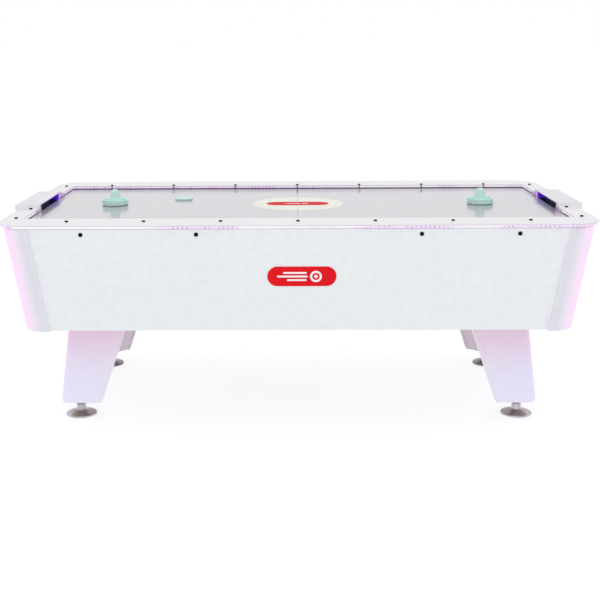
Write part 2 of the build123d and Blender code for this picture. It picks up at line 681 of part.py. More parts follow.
def make_power():
    place = face_plane(INLET_X, INLET_Z, 1).location
    plate = Pos(0, 0, 0.1) * extrude(RectangleRounded(118, 56, 6), 2.4)
    socket_hole = Pos(INLET_OFFSET, 0, -1) * extrude(RectangleRounded(42.2, 28.2, 3), 6)
    rocker_hole = Pos(ROCKER_OFFSET, 0, -1) * extrude(Rectangle(18, 25), 6)
    save("inlet_plate", place * (plate - socket_hole - rocker_hole))

    socket = Pos(INLET_OFFSET, 0, -30) * extrude(RectangleRounded(42, 28, 3), 34)
    socket -= Pos(INLET_OFFSET, 0, -14) * extrude(RectangleRounded(27, 18, 3), 20)
    for pin_x, pin_y in ((-7, -2), (7, -2), (0, 3)):
        socket += Pos(INLET_OFFSET + pin_x, pin_y, -15) * extrude(Rectangle(2, 4), 12)
    save("power_inlet", place * socket)

    rocker_half_x, rocker_half_y = ROCKER_HALF
    pivot_z = -3.0
    side_view = Plane((ROCKER_OFFSET - rocker_half_x, 0, 0), x_dir=(0, 1, 0), z_dir=(1, 0, 0))
    outline = Polyline(
        (-rocker_half_y + 0.6, pivot_z - 4),
        (rocker_half_y - 0.6, pivot_z - 4),
        (rocker_half_y - 0.4, 3.4),
        (0, 4.0),
        (-rocker_half_y + 0.4, 6.5),
        close=True,
    )
    rocker = extrude(side_view * make_face(outline), 2 * rocker_half_x)
    pin = rod_x(ROCKER_OFFSET - ROCKER_PIN[0], ROCKER_OFFSET + ROCKER_PIN[0], 0, pivot_z, ROCKER_PIN[1])
    save("power_rocker", place * (rocker + pin))

    floor = BOTTOM_Z + BOTTOM_THICKNESS
    supply = block(*SUPPLY, floor, floor + SUPPLY_HEIGHT)
    supply = fillet(supply.edges().filter_by(Axis.Z), 4)
    save("power_supply", supply)


# ---------------------------------------------------------------- loose playing pieces
LEFT_STRIKER = (-765.0, -20.0)
RIGHT_STRIKER = (762.0, -20.0)
PUCK_PLACE = (-491.0, 130.0)
FELT = 2.0


def make_striker():
    """A dished disc with a raised rim and a bell-shaped round knob; hollow below."""
    z0 = FELT
    z1 = STRIKER_RIM - 3
    foot = Polyline((STRIKER_R - 5, z0), (STRIKER_R, z0 + 1.5), (STRIKER_R, z1))
    rim = ThreePointArc((STRIKER_R, z1), (STRIKER_R - 3, STRIKER_RIM), (STRIKER_R - 6, z1))
    dish = Spline((STRIKER_R - 6, z1), (STRIKER_R - 11, 12), (36, 10), (29, 13), (25, 21))
    knob = Spline((25, 21), (20.5, 34), (17, 48), (0, STRIKER_HEIGHT), tangents=((-0.4, 1), (-1, 0)))
    bore = Polyline(
        (0, STRIKER_HEIGHT),
        (0, 54),
        (10, 50),
        (14, 36),
        (19, 14),
        (21, 7),
        (43, 7),
        (STRIKER_R - 5, z0),
    )
    return revolve(Plane.XZ * make_face([foot, rim, dish, knob, bore]), Axis.Z)


def make_play_pieces():
    striker = make_striker()
    felt = Pos(0, 0, FELT / 2) * Cylinder(STRIKER_R - 5, FELT)
    rest = FIELD_TOP + AIR_GAP
    for name, place in (("left", LEFT_STRIKER), ("right", RIGHT_STRIKER)):
        save(f"{name}_striker", Pos(*place, rest) * striker)
        save(f"{name}_striker_felt", Pos(*place, rest) * felt)
    puck = Pos(*PUCK_PLACE, rest + PUCK_THICKNESS / 2) * Cylinder(PUCK_R, PUCK_THICKNESS)
    puck = chamfer(puck.edges().filter_by(GeomType.CIRCLE), 1)
    save("puck", puck)


make_side_panels()
make_end_panels()
make_corner_posts()
make_floor()
make_field()
make_air_chamber()
make_rails()
make_rail_beds()
make_rail_screws()
make_goals()
make_apron_trim()
make_legs()
make_blower()
make_power()
make_play_pieces()
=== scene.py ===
"""Air hockey table: the visual model and its studio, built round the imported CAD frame. Metres."""

import json
import math

import bmesh
import bpy
from mathutils import Matrix, Vector


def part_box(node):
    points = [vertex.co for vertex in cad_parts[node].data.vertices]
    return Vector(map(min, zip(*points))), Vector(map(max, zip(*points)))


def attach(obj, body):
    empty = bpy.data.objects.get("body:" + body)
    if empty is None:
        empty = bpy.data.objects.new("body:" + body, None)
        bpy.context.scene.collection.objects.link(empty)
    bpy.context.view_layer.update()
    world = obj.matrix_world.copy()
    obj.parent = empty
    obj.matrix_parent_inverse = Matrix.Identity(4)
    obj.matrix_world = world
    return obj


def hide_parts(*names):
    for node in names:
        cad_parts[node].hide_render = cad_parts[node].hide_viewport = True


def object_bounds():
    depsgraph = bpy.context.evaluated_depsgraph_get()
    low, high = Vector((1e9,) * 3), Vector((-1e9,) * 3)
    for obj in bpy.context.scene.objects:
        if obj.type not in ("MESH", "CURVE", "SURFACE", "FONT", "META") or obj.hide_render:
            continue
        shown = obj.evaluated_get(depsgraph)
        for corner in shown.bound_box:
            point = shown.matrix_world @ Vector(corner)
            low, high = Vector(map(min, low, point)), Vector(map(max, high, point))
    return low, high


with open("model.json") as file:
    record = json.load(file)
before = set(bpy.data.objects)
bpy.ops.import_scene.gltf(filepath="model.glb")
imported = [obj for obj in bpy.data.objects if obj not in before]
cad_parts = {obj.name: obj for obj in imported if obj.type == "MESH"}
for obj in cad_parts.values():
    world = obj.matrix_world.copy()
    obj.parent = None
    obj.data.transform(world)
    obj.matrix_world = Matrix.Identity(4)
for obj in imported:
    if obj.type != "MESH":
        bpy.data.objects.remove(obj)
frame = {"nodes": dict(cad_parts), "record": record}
cad_low, cad_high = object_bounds()

NODES = frame["nodes"]
RECORD = frame["record"]
BODY_OF = {n: body for body, members in RECORD["behaviour"]["bodies"].items() for n in members}
SLOT_OF = {s["node"]: s["material_slot"] for s in RECORD["subparts"]}
MM = 0.001
SCENE = bpy.context.scene
SCENE.view_settings.view_transform = "Standard"

CAP_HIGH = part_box("front_rail_cap")[1]
PANEL_LOW, PANEL_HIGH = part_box("front_panel")
PANEL_THICKNESS = 0.018
END_LOW, END_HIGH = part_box("right_end_panel")
LEG_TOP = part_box("front_left_leg_shell")[1].z
FIELD_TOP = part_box("field_board")[1].z
HOOD_LOW, HOOD_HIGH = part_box("right_goal_hood")
INNER_X = HOOD_LOW.x
INNER_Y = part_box("field_markings")[1].y
SCREW_PITCH = 0.287


# ------------------------------------------------------------------ node helpers
class Graph:
    """One material and short ways to add nodes to it."""

    def __init__(self, name):
        self.material = bpy.data.materials.new(name)
        self.material.use_nodes = True
        self.tree = self.material.node_tree
        self.shader = self.tree.nodes["Principled BSDF"]
        self.point = self.tree.nodes.new("ShaderNodeTexCoord").outputs["Object"]

    def add(self, kind, inputs=None, **settings):
        node = self.tree.nodes.new(kind)
        for key, value in settings.items():
            setattr(node, key, value)
        for key, value in (inputs or {}).items():
            self.feed(node.inputs[key], value)
        return node

    def feed(self, socket, value):
        if isinstance(value, bpy.types.NodeSocket):
            self.tree.links.new(value, socket)
        elif hasattr(value, "__len__") and len(value) == 3 and len(socket.default_value) == 4:
            socket.default_value = (*value, 1.0)
        else:
            socket.default_value = value

    def set(self, **values):
        for key, value in values.items():
            self.feed(self.shader.inputs[key.replace("_", " ")], value)

    def noise(self, scale, detail=2.0, point=None, distortion=0.0):
        inputs = {"Vector": point or self.point, "Scale": scale, "Detail": detail, "Distortion": distortion}
        return self.add("ShaderNodeTexNoise", inputs).outputs[0]

    def stretched(self, scale):
        return self.add("ShaderNodeMapping", {"Vector": self.point, "Scale": scale}).outputs[0]

    def mix(self, factor, a, b):
        node = self.add("ShaderNodeMix", data_type="RGBA")
        self.feed(node.inputs[0], factor)
        self.feed(node.inputs[6], a)
        self.feed(node.inputs[7], b)
        return node.outputs[2]

    def math(self, operation, a, b=0.0, c=0.0):
        node = self.add("ShaderNodeMath", operation=operation)
        for socket, value in zip(node.inputs, (a, b, c)):
            self.feed(socket, value)
        return node.outputs[0]

    def span(self, value, low, high, to_low=0.0, to_high=1.0, smooth=True):
        node = self.add("ShaderNodeMapRange", interpolation_type="SMOOTHSTEP" if smooth else "LINEAR")
        keys = ("Value", "From Min", "From Max", "To Min", "To Max")
        for key, v in zip(keys, (value, low, high, to_low, to_high)):
            self.feed(node.inputs[key], v)
        return node.outputs[0]

    def xyz(self):
        return self.add("ShaderNodeSeparateXYZ", {0: self.point}).outputs

    def bump(self, height, distance, strength=1.0, normal=None):
        inputs = {"Height": height, "Distance": distance, "Strength": strength}
        if normal is not None:
            inputs["Normal"] = normal
        return self.add("ShaderNodeBump", inputs).outputs[0]

    def worn(self, colour, edge_colour, amount=0.5):
        """Lets edge_colour show along edges, broken up by noise."""
        pointiness = self.add("ShaderNodeNewGeometry").outputs["Pointiness"]
        edge = self.span(pointiness, 0.53, 0.62)
        patchy = self.span(self.noise(35.0, 4.0), 0.35, 0.65, 0.0, amount)
        return self.mix(self.math("MULTIPLY", edge, patchy), colour, edge_colour)


def surface(name, colour, second, roughness, spread=0.05, cloud=4.0, grain=700.0, relief=0.00002,
            worn=None, **values):
    """A moulded, painted or laminated surface: cloudy colour, uneven gloss, fine relief, worn edges."""
    g = Graph(name)
    tone = g.mix(g.span(g.noise(cloud, 4.0), 0.3, 0.7), colour, second)
    if worn:
        tone = g.worn(tone, worn)
    fine = g.noise(grain, 3.0)
    smears = g.noise(cloud * 3.0, 3.0, distortion=0.6)
    gloss = g.span(g.math("ADD", g.math("MULTIPLY", fine, 0.4), g.math("MULTIPLY", smears, 0.6)), 0.3, 0.7,
                   roughness - spread, roughness + spread)
    g.set(Base_Color=tone, Roughness=gloss, Normal=g.bump(fine, relief), **values)
    return g.material


def brushed(name, colour, second, roughness, stretch=(1.0, 1.0, 18.0), painted_light=None, **values):
    """Metal with fine tool marks across the stretch direction."""
    g = Graph(name)
    marks = g.noise(260.0, 4.0, g.stretched(stretch))
    stains = g.span(g.noise(22.0, 4.0), 0.35, 0.7)
    tone = g.mix(stains, colour, second)
    tone = g.worn(tone, tuple(min(1.0, c * 1.25) for c in colour), 0.8)
    if painted_light:
        tone = painted_light(g, tone, g.xyz())
    gloss = g.span(g.math("ADD", g.math("MULTIPLY", marks, 0.5), g.math("MULTIPLY", stains, 0.5)), 0.2, 0.8,
                   roughness - 0.09, roughness + 0.09)
    g.set(Base_Color=tone, Metallic=1.0, Roughness=gloss, Normal=g.bump(marks, 0.00004), **values)
    return g.material


# ------------------------------------------------------------------ materials
def post_painted_light(g, tone, place):
    """Painted light and shade on the rounded corner posts, following the taper: painted grey shade beside the
    long panels, painted pink light round the corner.
    """
    x, y, z = place
    half = g.span(z, END_LOW.z, END_HIGH.z, END_LOW.x + PANEL_THICKNESS, END_HIGH.x, False)
    inward = g.math("SUBTRACT", half, g.math("ABSOLUTE", x))
    # painted shade: grey that grows inwards from the corner and fades out just past the seam with the long
    # panel
    seam = g.span(inward, 0.090, 0.135, 1.0, 0.0)
    shade = g.math("MULTIPLY", seam, g.span(inward, 0.025, 0.085, 0.0, 0.75))
    tone = g.mix(shade, tone, (0.70, 0.68, 0.75))
    # painted pink light from the sides, strongest just round the corner, on the posts only
    corner = g.span(g.math("ABSOLUTE", y), 0.50, 0.53)
    painted_pink_strip = g.math("MULTIPLY", g.span(inward, 0.0, 0.014, 0.55, 1.0), g.span(inward, 0.020, 0.085, 1.0, 0.0))
    return g.mix(g.math("MULTIPLY", painted_pink_strip, corner), tone, (0.98, 0.76, 0.94))


def foot_painted_shade(g, tone, place):
    """Painted shade: the rear feet are darkened, as they stand in the table's shade."""
    return g.mix(g.span(place[1], -0.1, 0.1, 0.0, 0.65), tone, (0.09, 0.08, 0.09))


def leg_painted_light(g, tone, place):
    """Painted pink light under the cabinet, a dark line where the leg meets it, and painted shade on the legs
    at the rear.
    """
    x, y, z = place
    # painted pink light, growing towards the cabinet
    tone = g.mix(g.span(z, 0.14, 0.38, 0.0, 0.9), tone, (0.90, 0.69, 0.90))
    # painted shade: the rear legs darkened
    tone = g.mix(g.span(y, -0.1, 0.1, 0.0, 0.7), tone, (0.52, 0.43, 0.49))
    return g.mix(g.span(z, LEG_TOP - 0.004, LEG_TOP - 0.001, 0.0, 0.5), tone, (0.30, 0.26, 0.32))


def laminate(name, colour, second, roughness=0.38, painted_light=None, edge=None):
    """White laminate with a faint pearl texture. painted_light adds a part's painted light and shade; edge
    darkens the side below the top edge.
    """
    g = Graph(name)
    tone = g.mix(g.span(g.noise(3.0, 4.0), 0.3, 0.7), colour, second)
    if painted_light:
        tone = painted_light(g, tone, g.xyz())
    if edge:
        tone = g.mix(g.span(g.xyz()[2], *edge[1], edge[2], 0.0), tone, edge[0])
    tone = g.worn(tone, (0.93, 0.93, 0.92), 0.6)
    pearl = g.noise(950.0, 3.0)
    smears = g.noise(3.0, 3.0, distortion=0.4)
    gloss = g.span(g.math("ADD", g.math("MULTIPLY", pearl, 0.35), g.math("MULTIPLY", smears, 0.65)), 0.3, 0.7,
                   roughness - 0.015, roughness + 0.015)
    g.set(Base_Color=tone, Roughness=gloss, Normal=g.bump(pearl, 0.00001))
    return g.material


def field_material():
    """Polished pale laminate with a soft speckle and fine wipe marks."""
    g = Graph("field_laminate")
    base = g.mix(g.span(g.noise(1.6, 3.0), 0.3, 0.7), (0.452, 0.450, 0.484), (0.466, 0.464, 0.496))
    speckle = g.span(g.noise(620.0, 2.0), 0.58, 0.72, 0.0, 0.25)
    tone = g.mix(speckle, base, (0.43, 0.43, 0.47))
    wipes = g.noise(14.0, 5.0, g.stretched((1.0, 5.0, 1.0)), 0.4)
    g.set(Base_Color=tone, Roughness=g.span(wipes, 0.3, 0.7, 0.14, 0.18),
          Normal=g.bump(g.noise(5.0, 2.0), 0.0004, 0.25), Coat_Weight=0.3, Coat_Roughness=0.08)
    return g.material


def emblem_material():
    """Cream laminate, crossed by the thin centre line."""
    g = Graph("emblem_cream")
    x, y, z = g.xyz()
    tone = g.mix(g.span(g.noise(4.0, 4.0), 0.3, 0.7), (0.735, 0.775, 0.625), (0.715, 0.76, 0.61))
    tone = g.mix(g.span(g.math("ABSOLUTE", x), 0.0012, 0.0020, 0.55, 0.0), tone, (0.30, 0.29, 0.30))
    g.set(Base_Color=tone, Roughness=g.span(g.noise(12.0, 3.0), 0.3, 0.7, 0.16, 0.24), Coat_Weight=0.3)
    return g.material


def marking_material():
    """Grey centre line; the ring round the emblem is a lighter beige."""
    g = Graph("marking_grey")
    x, y, z = g.xyz()
    ring = g.span(g.math("ABSOLUTE", x), 0.004, 0.006)
    tone = g.mix(g.noise(30.0, 3.0), (0.26, 0.25, 0.29), (0.23, 0.22, 0.26))
    tone = g.mix(ring, tone, (0.50, 0.50, 0.455))
    g.set(Base_Color=tone, Roughness=g.span(g.noise(12.0, 3.0), 0.3, 0.7, 0.16, 0.24), Coat_Weight=0.3)
    return g.material


def lit_guide_material():
    """Edge-lit acrylic: white, with pink runs where diodes show as violet dots, dark at the screws, and
    painted shade along the foot of the inner faces.
    """
    g = Graph("lit_acrylic")
    x, y, z = g.xyz()
    along = g.math("ADD", x, y)
    corner = g.math("MULTIPLY", g.span(g.math("ABSOLUTE", x), 1.030, 1.075),
                    g.span(g.math("ABSOLUTE", y), 0.50, 0.56))
    runs = g.math("MAXIMUM", g.span(g.noise(3.1, 2.0), 0.40, 0.52), corner)
    flecks = g.span(g.noise(34.0, 2.0), 0.40, 0.58)
    diode = g.math("FRACT", g.math("MULTIPLY", along, 60.0))
    dot = g.span(g.math("ABSOLUTE", g.math("SUBTRACT", diode, 0.5)), 0.10, 0.34, 1.0, 0.0)
    cluster = g.span(g.noise(6.1, 1.0), 0.645, 0.69)
    tone = g.mix(g.math("MULTIPLY", runs, 0.42), (0.94, 0.92, 0.95), (0.88, 0.55, 0.95))
    violet = g.math("MULTIPLY", g.math("MAXIMUM", g.math("MULTIPLY", runs, g.math("MULTIPLY", flecks, 0.36)),
                                       g.math("MULTIPLY", cluster, 0.85)), dot)
    tone = g.mix(violet, tone, (0.34, 0.07, 0.52))
    steps = g.math("ADD", g.math("DIVIDE", x, SCREW_PITCH), 0.5)
    pitch = g.math("ABSOLUTE", g.math("SUBTRACT", g.math("FRACT", steps), 0.5))
    within = g.span(g.math("ABSOLUTE", y), 0.500, 0.504, 1.0, 0.0)
    facing = g.math("MULTIPLY", within, g.span(g.math("ABSOLUTE", y), 0.475, 0.480))
    tick = g.math("MULTIPLY", g.math("MULTIPLY", g.span(pitch, 0.008, 0.014, 1.0, 0.0), facing), 0.9)
    tone = g.mix(tick, tone, (0.10, 0.02, 0.14))
    # painted shade: a dark strip along the foot of the inner faces, where the gap over the field lies in
    # shadow
    inner = g.math("MULTIPLY", g.span(g.math("ABSOLUTE", y), 0.500, 0.504, 1.0, 0.0),
                   g.span(g.math("ABSOLUTE", x), 1.060, 1.064, 1.0, 0.0))
    low = g.math("MULTIPLY", g.span(z, FIELD_TOP + 0.0025, FIELD_TOP + 0.0060, 0.95, 0.0), inner)
    tone = g.mix(low, tone, (0.10, 0.05, 0.13))
    g.set(Base_Color=g.mix(0.72, tone, (0.0, 0.0, 0.0)),
          Roughness=g.span(g.noise(300.0), 0.3, 0.7, 0.18, 0.3), Emission_Color=tone,
          Emission_Strength=0.72, Specular_IOR_Level=0.25)
    return g.material


def glow(name, colour, second, strength):
    g = Graph(name)
    tone = g.mix(g.span(g.noise(60.0, 3.0), 0.35, 0.65), colour, second)
    g.set(Base_Color=tone, Roughness=g.span(g.noise(200.0), 0.3, 0.7, 0.3, 0.45), Emission_Color=tone,
          Emission_Strength=strength)
    return g.material


def goal_cavity_painted_light_material():
    """Painted shade and painted light inside the goal: a near-black base colour stands in for the shaded
    cavity, and emission paints the blue light of the goal's lamps towards the rear cheek.
    """
    g = Graph("goal_cavity_painted_light")
    x, y, z = g.xyz()
    # painted blue light, glowing towards the rear cheek
    blue = g.span(y, 0.04, 0.15)
    tone = g.mix(blue, (0.006, 0.001, 0.030), (0.026, 0.0005, 0.36))
    tone = g.mix(g.span(g.noise(45.0, 3.0), 0.4, 0.7, 0.0, 0.4), tone, (0.003, 0.0005, 0.015))
    # painted shade: near-black base colour for the shaded cavity
    g.set(Base_Color=g.mix(g.noise(60.0), (0.003, 0.001, 0.010), (0.005, 0.002, 0.014)),
          Roughness=g.span(g.noise(500.0), 0.3, 0.7, 0.5, 0.65), Emission_Color=tone, Emission_Strength=1.0,
          Specular_IOR_Level=0.03)
    return g.material


def cheek_painted_light_material():
    """The goal's rounded cheeks, with painted light from the goal's lamps: emission paints them pink-white at
    the playing face, violet round the curve, deep blue inside.
    """
    g = Graph("goal_cheek_painted_light")
    x, y, z = g.xyz()
    depth = g.math("ABSOLUTE", x)
    tone = g.mix(g.span(depth, INNER_X, INNER_X + 0.003), (0.82, 0.56, 0.90), (0.42, 0.10, 0.75))
    tone = g.mix(g.span(depth, INNER_X + 0.003, INNER_X + 0.008), tone, (0.036, 0.002, 0.40))
    tone = g.mix(g.span(depth, INNER_X + 0.012, INNER_X + 0.038), tone, (0.018, 0.001, 0.26))
    tone = g.mix(g.span(g.noise(70.0, 3.0), 0.4, 0.7, 0.0, 0.15), tone, (0.20, 0.03, 0.45))
    g.set(Base_Color=g.mix(0.9, tone, (0.0, 0.0, 0.0)), Roughness=g.span(g.noise(200.0), 0.3, 0.7, 0.4, 0.55),
          Emission_Color=tone, Emission_Strength=0.95, Specular_IOR_Level=0.1)
    return g.material


def hood_material():
    """Satin white moulding; on the face beside the goal mouth, painted pink light from the lit goal, and
    painted shade along its foot by the field.
    """
    g = Graph("hood_plastic")
    x, y, z = g.xyz()
    tone = g.mix(g.span(g.noise(4.0, 4.0), 0.3, 0.7), (0.80, 0.80, 0.825), (0.775, 0.775, 0.80))
    # painted pink light on the face beside the goal mouth
    face = g.span(g.math("ABSOLUTE", x), INNER_X + 0.0004, INNER_X + 0.0014, 1.0, 0.0)
    beside = g.span(g.math("ABSOLUTE", y), 0.205, 0.275, 1.0, 0.15)
    below = g.span(z, 0.819, 0.823, 1.0, 0.0)
    pink = g.math("MULTIPLY", g.math("MULTIPLY", face, beside), below)
    tone = g.mix(g.math("MULTIPLY", pink, 0.9), tone, (0.72, 0.40, 0.82))
    # painted shade: a dark strip along the foot of the face by the field
    low = g.math("MULTIPLY", g.span(z, FIELD_TOP + 0.0025, FIELD_TOP + 0.0060, 0.95, 0.0), face)
    tone = g.mix(low, tone, (0.06, 0.01, 0.09))
    tone = g.worn(tone, (0.93, 0.93, 0.93))
    fine = g.noise(700.0, 3.0)
    g.set(Base_Color=tone, Roughness=g.span(fine, 0.3, 0.7, 0.38, 0.46), Normal=g.bump(fine, 0.00002))
    return g.material


def board_material():
    """Plain particle board: chips and glue, sealed."""
    g = Graph("raw_board")
    grain = {"Vector": g.stretched((1.0, 1.6, 1.0)), "Scale": 170.0}
    chips = g.add("ShaderNodeTexVoronoi", grain, feature="F1")
    tone = g.mix(chips.outputs["Color"], (0.50, 0.38, 0.24), (0.66, 0.54, 0.38))
    tone = g.mix(g.span(g.noise(60.0, 5.0), 0.35, 0.7), tone, (0.44, 0.32, 0.20))
    g.set(Base_Color=tone, Roughness=g.span(g.noise(90.0, 3.0), 0.3, 0.7, 0.62, 0.8),
          Normal=g.bump(chips.outputs["Distance"], 0.0002))
    return g.material


def felt_material():
    g = Graph("felt")
    fibres = g.noise(1400.0, 4.0, g.stretched((1.0, 2.2, 1.0)), 1.2)
    tone = g.mix(g.span(fibres, 0.35, 0.7), (0.70, 0.72, 0.70), (0.88, 0.89, 0.87))
    g.set(Base_Color=tone, Roughness=g.span(fibres, 0.3, 0.7, 0.85, 0.98), Normal=g.bump(fibres, 0.0003),
          Sheen_Weight=0.6)
    return g.material


def mint_material(name, colour, second):
    g = Graph(name)
    swirl = g.noise(55.0, 4.0, distortion=1.0)
    tone = g.worn(g.mix(g.span(swirl, 0.3, 0.7), colour, second), (0.72, 0.90, 0.83), 0.6)
    scuffs = g.noise(380.0, 3.0, g.stretched((1.0, 1.0, 3.0)))
    g.set(Base_Color=tone, Roughness=g.span(scuffs, 0.3, 0.7, 0.22, 0.36), Normal=g.bump(scuffs, 0.00003),
          Subsurface_Weight=0.12, Subsurface_Scale=0.006)
    return g.material


CAP_EDGE = ((0.40, 0.38, 0.44), (CAP_HIGH.z - 0.0014, CAP_HIGH.z - 0.0006), 0.55)
WHITE = (0.797, 0.837, 0.823)
WHITE_2 = (0.790, 0.831, 0.817)
MATERIALS = {
    "white_laminate": laminate("white_laminate", WHITE, WHITE_2, painted_light=post_painted_light),
    "rail_laminate": laminate("rail_laminate", (0.845, 0.86, 0.862), (0.838, 0.852, 0.855), 0.36,
                              edge=CAP_EDGE),
    "hood_plastic": hood_material(),
    "leg_laminate": laminate("leg_laminate", (0.82, 0.81, 0.96), (0.81, 0.80, 0.95), painted_light=leg_painted_light),
    "raw_board": board_material(),
    "field_laminate": field_material(),
    "emblem_cream": emblem_material(),
    "marking_grey": marking_material(),
    "lit_acrylic": lit_guide_material(),
    "led_tape": glow("led_tape", (0.95, 0.75, 1.0), (0.75, 0.45, 0.95), 1.2),
    "goal_led": glow("goal_led", (0.10, 0.02, 0.75), (0.20, 0.03, 0.85), 1.5),
    "foam_seal": surface("foam_seal", (0.09, 0.08, 0.11), (0.05, 0.045, 0.065), 0.85, 0.08, 40.0, 900.0,
                         0.0003),
    "black_screws": surface("black_screws", (0.004, 0.004, 0.005), (0.008, 0.008, 0.009), 0.6, 0.1, 80.0,
                            1500.0, 0.00004, worn=(0.02, 0.02, 0.02), Specular_IOR_Level=0.02),
    "black_plastic": surface("black_plastic", (0.006, 0.006, 0.007), (0.011, 0.011, 0.012), 0.6, 0.08, 40.0,
                             1300.0, 0.00006, worn=(0.02, 0.02, 0.02), Specular_IOR_Level=0.03),
    "badge_red": surface("badge_red", (0.76, 0.010, 0.016), (0.72, 0.008, 0.013), 0.55, 0.06, 12.0, 900.0,
                         Specular_IOR_Level=0.06),
    "goal_box_plastic": surface("goal_box_plastic", (0.045, 0.04, 0.08), (0.03, 0.028, 0.06), 0.55, 0.08,
                                20.0, 800.0, 0.00006, worn=(0.12, 0.11, 0.17)),
    "grille_steel": surface("grille_steel", (0.05, 0.05, 0.055), (0.035, 0.035, 0.04), 0.5, 0.1, 25.0, 1100.0,
                            0.0001, worn=(0.2, 0.2, 0.2)),
    "foot_steel": brushed("foot_steel", (0.62, 0.61, 0.65), (0.52, 0.51, 0.55), 0.42, painted_light=foot_painted_shade),
    "zinc_steel": brushed("zinc_steel", (0.66, 0.67, 0.70), (0.52, 0.52, 0.50), 0.32),
    "blower_plastic": surface("blower_plastic", (0.035, 0.035, 0.04), (0.05, 0.05, 0.055), 0.5, 0.08, 20.0,
                              900.0, 0.00008, worn=(0.12, 0.12, 0.12)),
    "motor_paint": surface("motor_paint", (0.16, 0.17, 0.20), (0.12, 0.13, 0.15), 0.42, 0.1, 20.0, 1000.0,
                           0.00008, worn=(0.4, 0.4, 0.4)),
    "saddle_foam": surface("saddle_foam", (0.06, 0.06, 0.06), (0.09, 0.09, 0.09), 0.9, 0.06, 60.0, 500.0,
                           0.0006),
    "supply_metal": brushed("supply_metal", (0.68, 0.69, 0.70), (0.58, 0.58, 0.6), 0.34, (1.0, 12.0, 1.0)),
    "mint_plastic": mint_material("mint_plastic", (0.60, 0.91, 0.80), (0.56, 0.88, 0.76)),
    "puck_plastic": mint_material("puck_plastic", (0.60, 0.86, 0.77), (0.56, 0.83, 0.73)),
    "felt": felt_material(),
}
GOAL_CAVITY_PAINTED_LIGHT = goal_cavity_painted_light_material()
GOAL_CHEEK_PAINTED_LIGHT = cheek_painted_light_material()
ICON_WHITE = surface("icon_white", (0.92, 0.92, 0.92), (0.87, 0.87, 0.88), 0.3, 0.05, 10.0, 900.0)
# painted shade: the dark colour of the air holes stands for the shade inside them
HOLE_PAINTED_SHADE = surface("air_hole", (0.10, 0.10, 0.12), (0.06, 0.06, 0.08), 0.7, 0.1, 50.0, 900.0)

for node, slot_name in SLOT_OF.items():
    NODES[node].data.materials.clear()
    NODES[node].data.materials.append(MATERIALS[slot_name])


# ------------------------------------------------------------------ mesh helpers
def mark_sharp(bm, degrees):
    limit = math.radians(degrees)
    for face in bm.faces:
        face.smooth = True
    for edge in bm.edges:
        edge.smooth = len(edge.link_faces) == 2 and edge.calc_face_angle(0.0) < limit


EDGE_ANGLE = 32.0
FLAT_ANGLE = 0.3


def new_piece(name, bm, slot_name, body, nodes=(), sharp=35.0, materials=None):
    """Finish a mesh as a piece of the object that rides on a CAD body."""
    bmesh.ops.recalc_face_normals(bm, faces=bm.faces)
    mark_sharp(bm, sharp)
    mesh = bpy.data.meshes.new(name)
    bm.to_mesh(mesh)
    bm.free()
    obj = bpy.data.objects.new(name, mesh)
    SCENE.collection.objects.link(obj)
    for material in materials or [MATERIALS[slot_name]]:
        mesh.materials.append(material)
    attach(obj, body)
    if nodes:
        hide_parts(*nodes)
    return obj


def crisp(node, width=0.8, segments=2, materials=None, paint=None):
    """A CAD node with clean flat faces and softly rounded edges. paint(face) picks a material index."""
    bm = bmesh.new()
    bm.from_mesh(NODES[node].data)
    bmesh.ops.remove_doubles(bm, verts=bm.verts, dist=0.00002)
    flat = math.radians(FLAT_ANGLE)
    bmesh.ops.dissolve_limit(bm, angle_limit=flat, verts=bm.verts, edges=bm.edges, delimit={"NORMAL"})
    bmesh.ops.dissolve_degenerate(bm, edges=bm.edges, dist=0.00001)
    bm.normal_update()
    if paint:
        for face in bm.faces:
            face.material_index = paint(face)
    obj = new_piece(node + "_finish", bm, SLOT_OF[node], BODY_OF[node], [node], EDGE_ANGLE, materials)
    bevel = obj.modifiers.new("edge", "BEVEL")
    bevel.width = width * MM
    bevel.segments = segments
    bevel.limit_method = "ANGLE"
    bevel.angle_limit = math.radians(EDGE_ANGLE)
    bevel.use_clamp_overlap = True
    bevel.harden_normals = False
    weighted = obj.modifiers.new("shading", "WEIGHTED_NORMAL")
    weighted.keep_sharp = True
    weighted.weight = 80
    return obj


def smooth_line(points, steps=8):
    """A Catmull-Rom line through the points."""
    ends = [2 * Vector(points[0]) - Vector(points[1])] + [Vector(p) for p in points]
    ends.append(2 * Vector(points[-1]) - Vector(points[-2]))
    line = []
    for a, b, c, d in zip(ends, ends[1:], ends[2:], ends[3:]):
        for i in range(steps):
            t = i / steps
            line.append(0.5 * (2 * b + (c - a) * t + (2 * a - 5 * b + 4 * c - d) * t * t
                               + (3 * b - a - 3 * c + d) * t ** 3))
    line.append(ends[-2])
    return [tuple(p) for p in line]


def arc(centre, radius, start, end, steps=6):
    """Points on an arc, angles in degrees."""
    angles = [math.radians(start + (end - start) * i / steps) for i in range(steps + 1)]
    return [(centre[0] + radius * math.cos(a), centre[1] + radius * math.sin(a)) for a in angles]


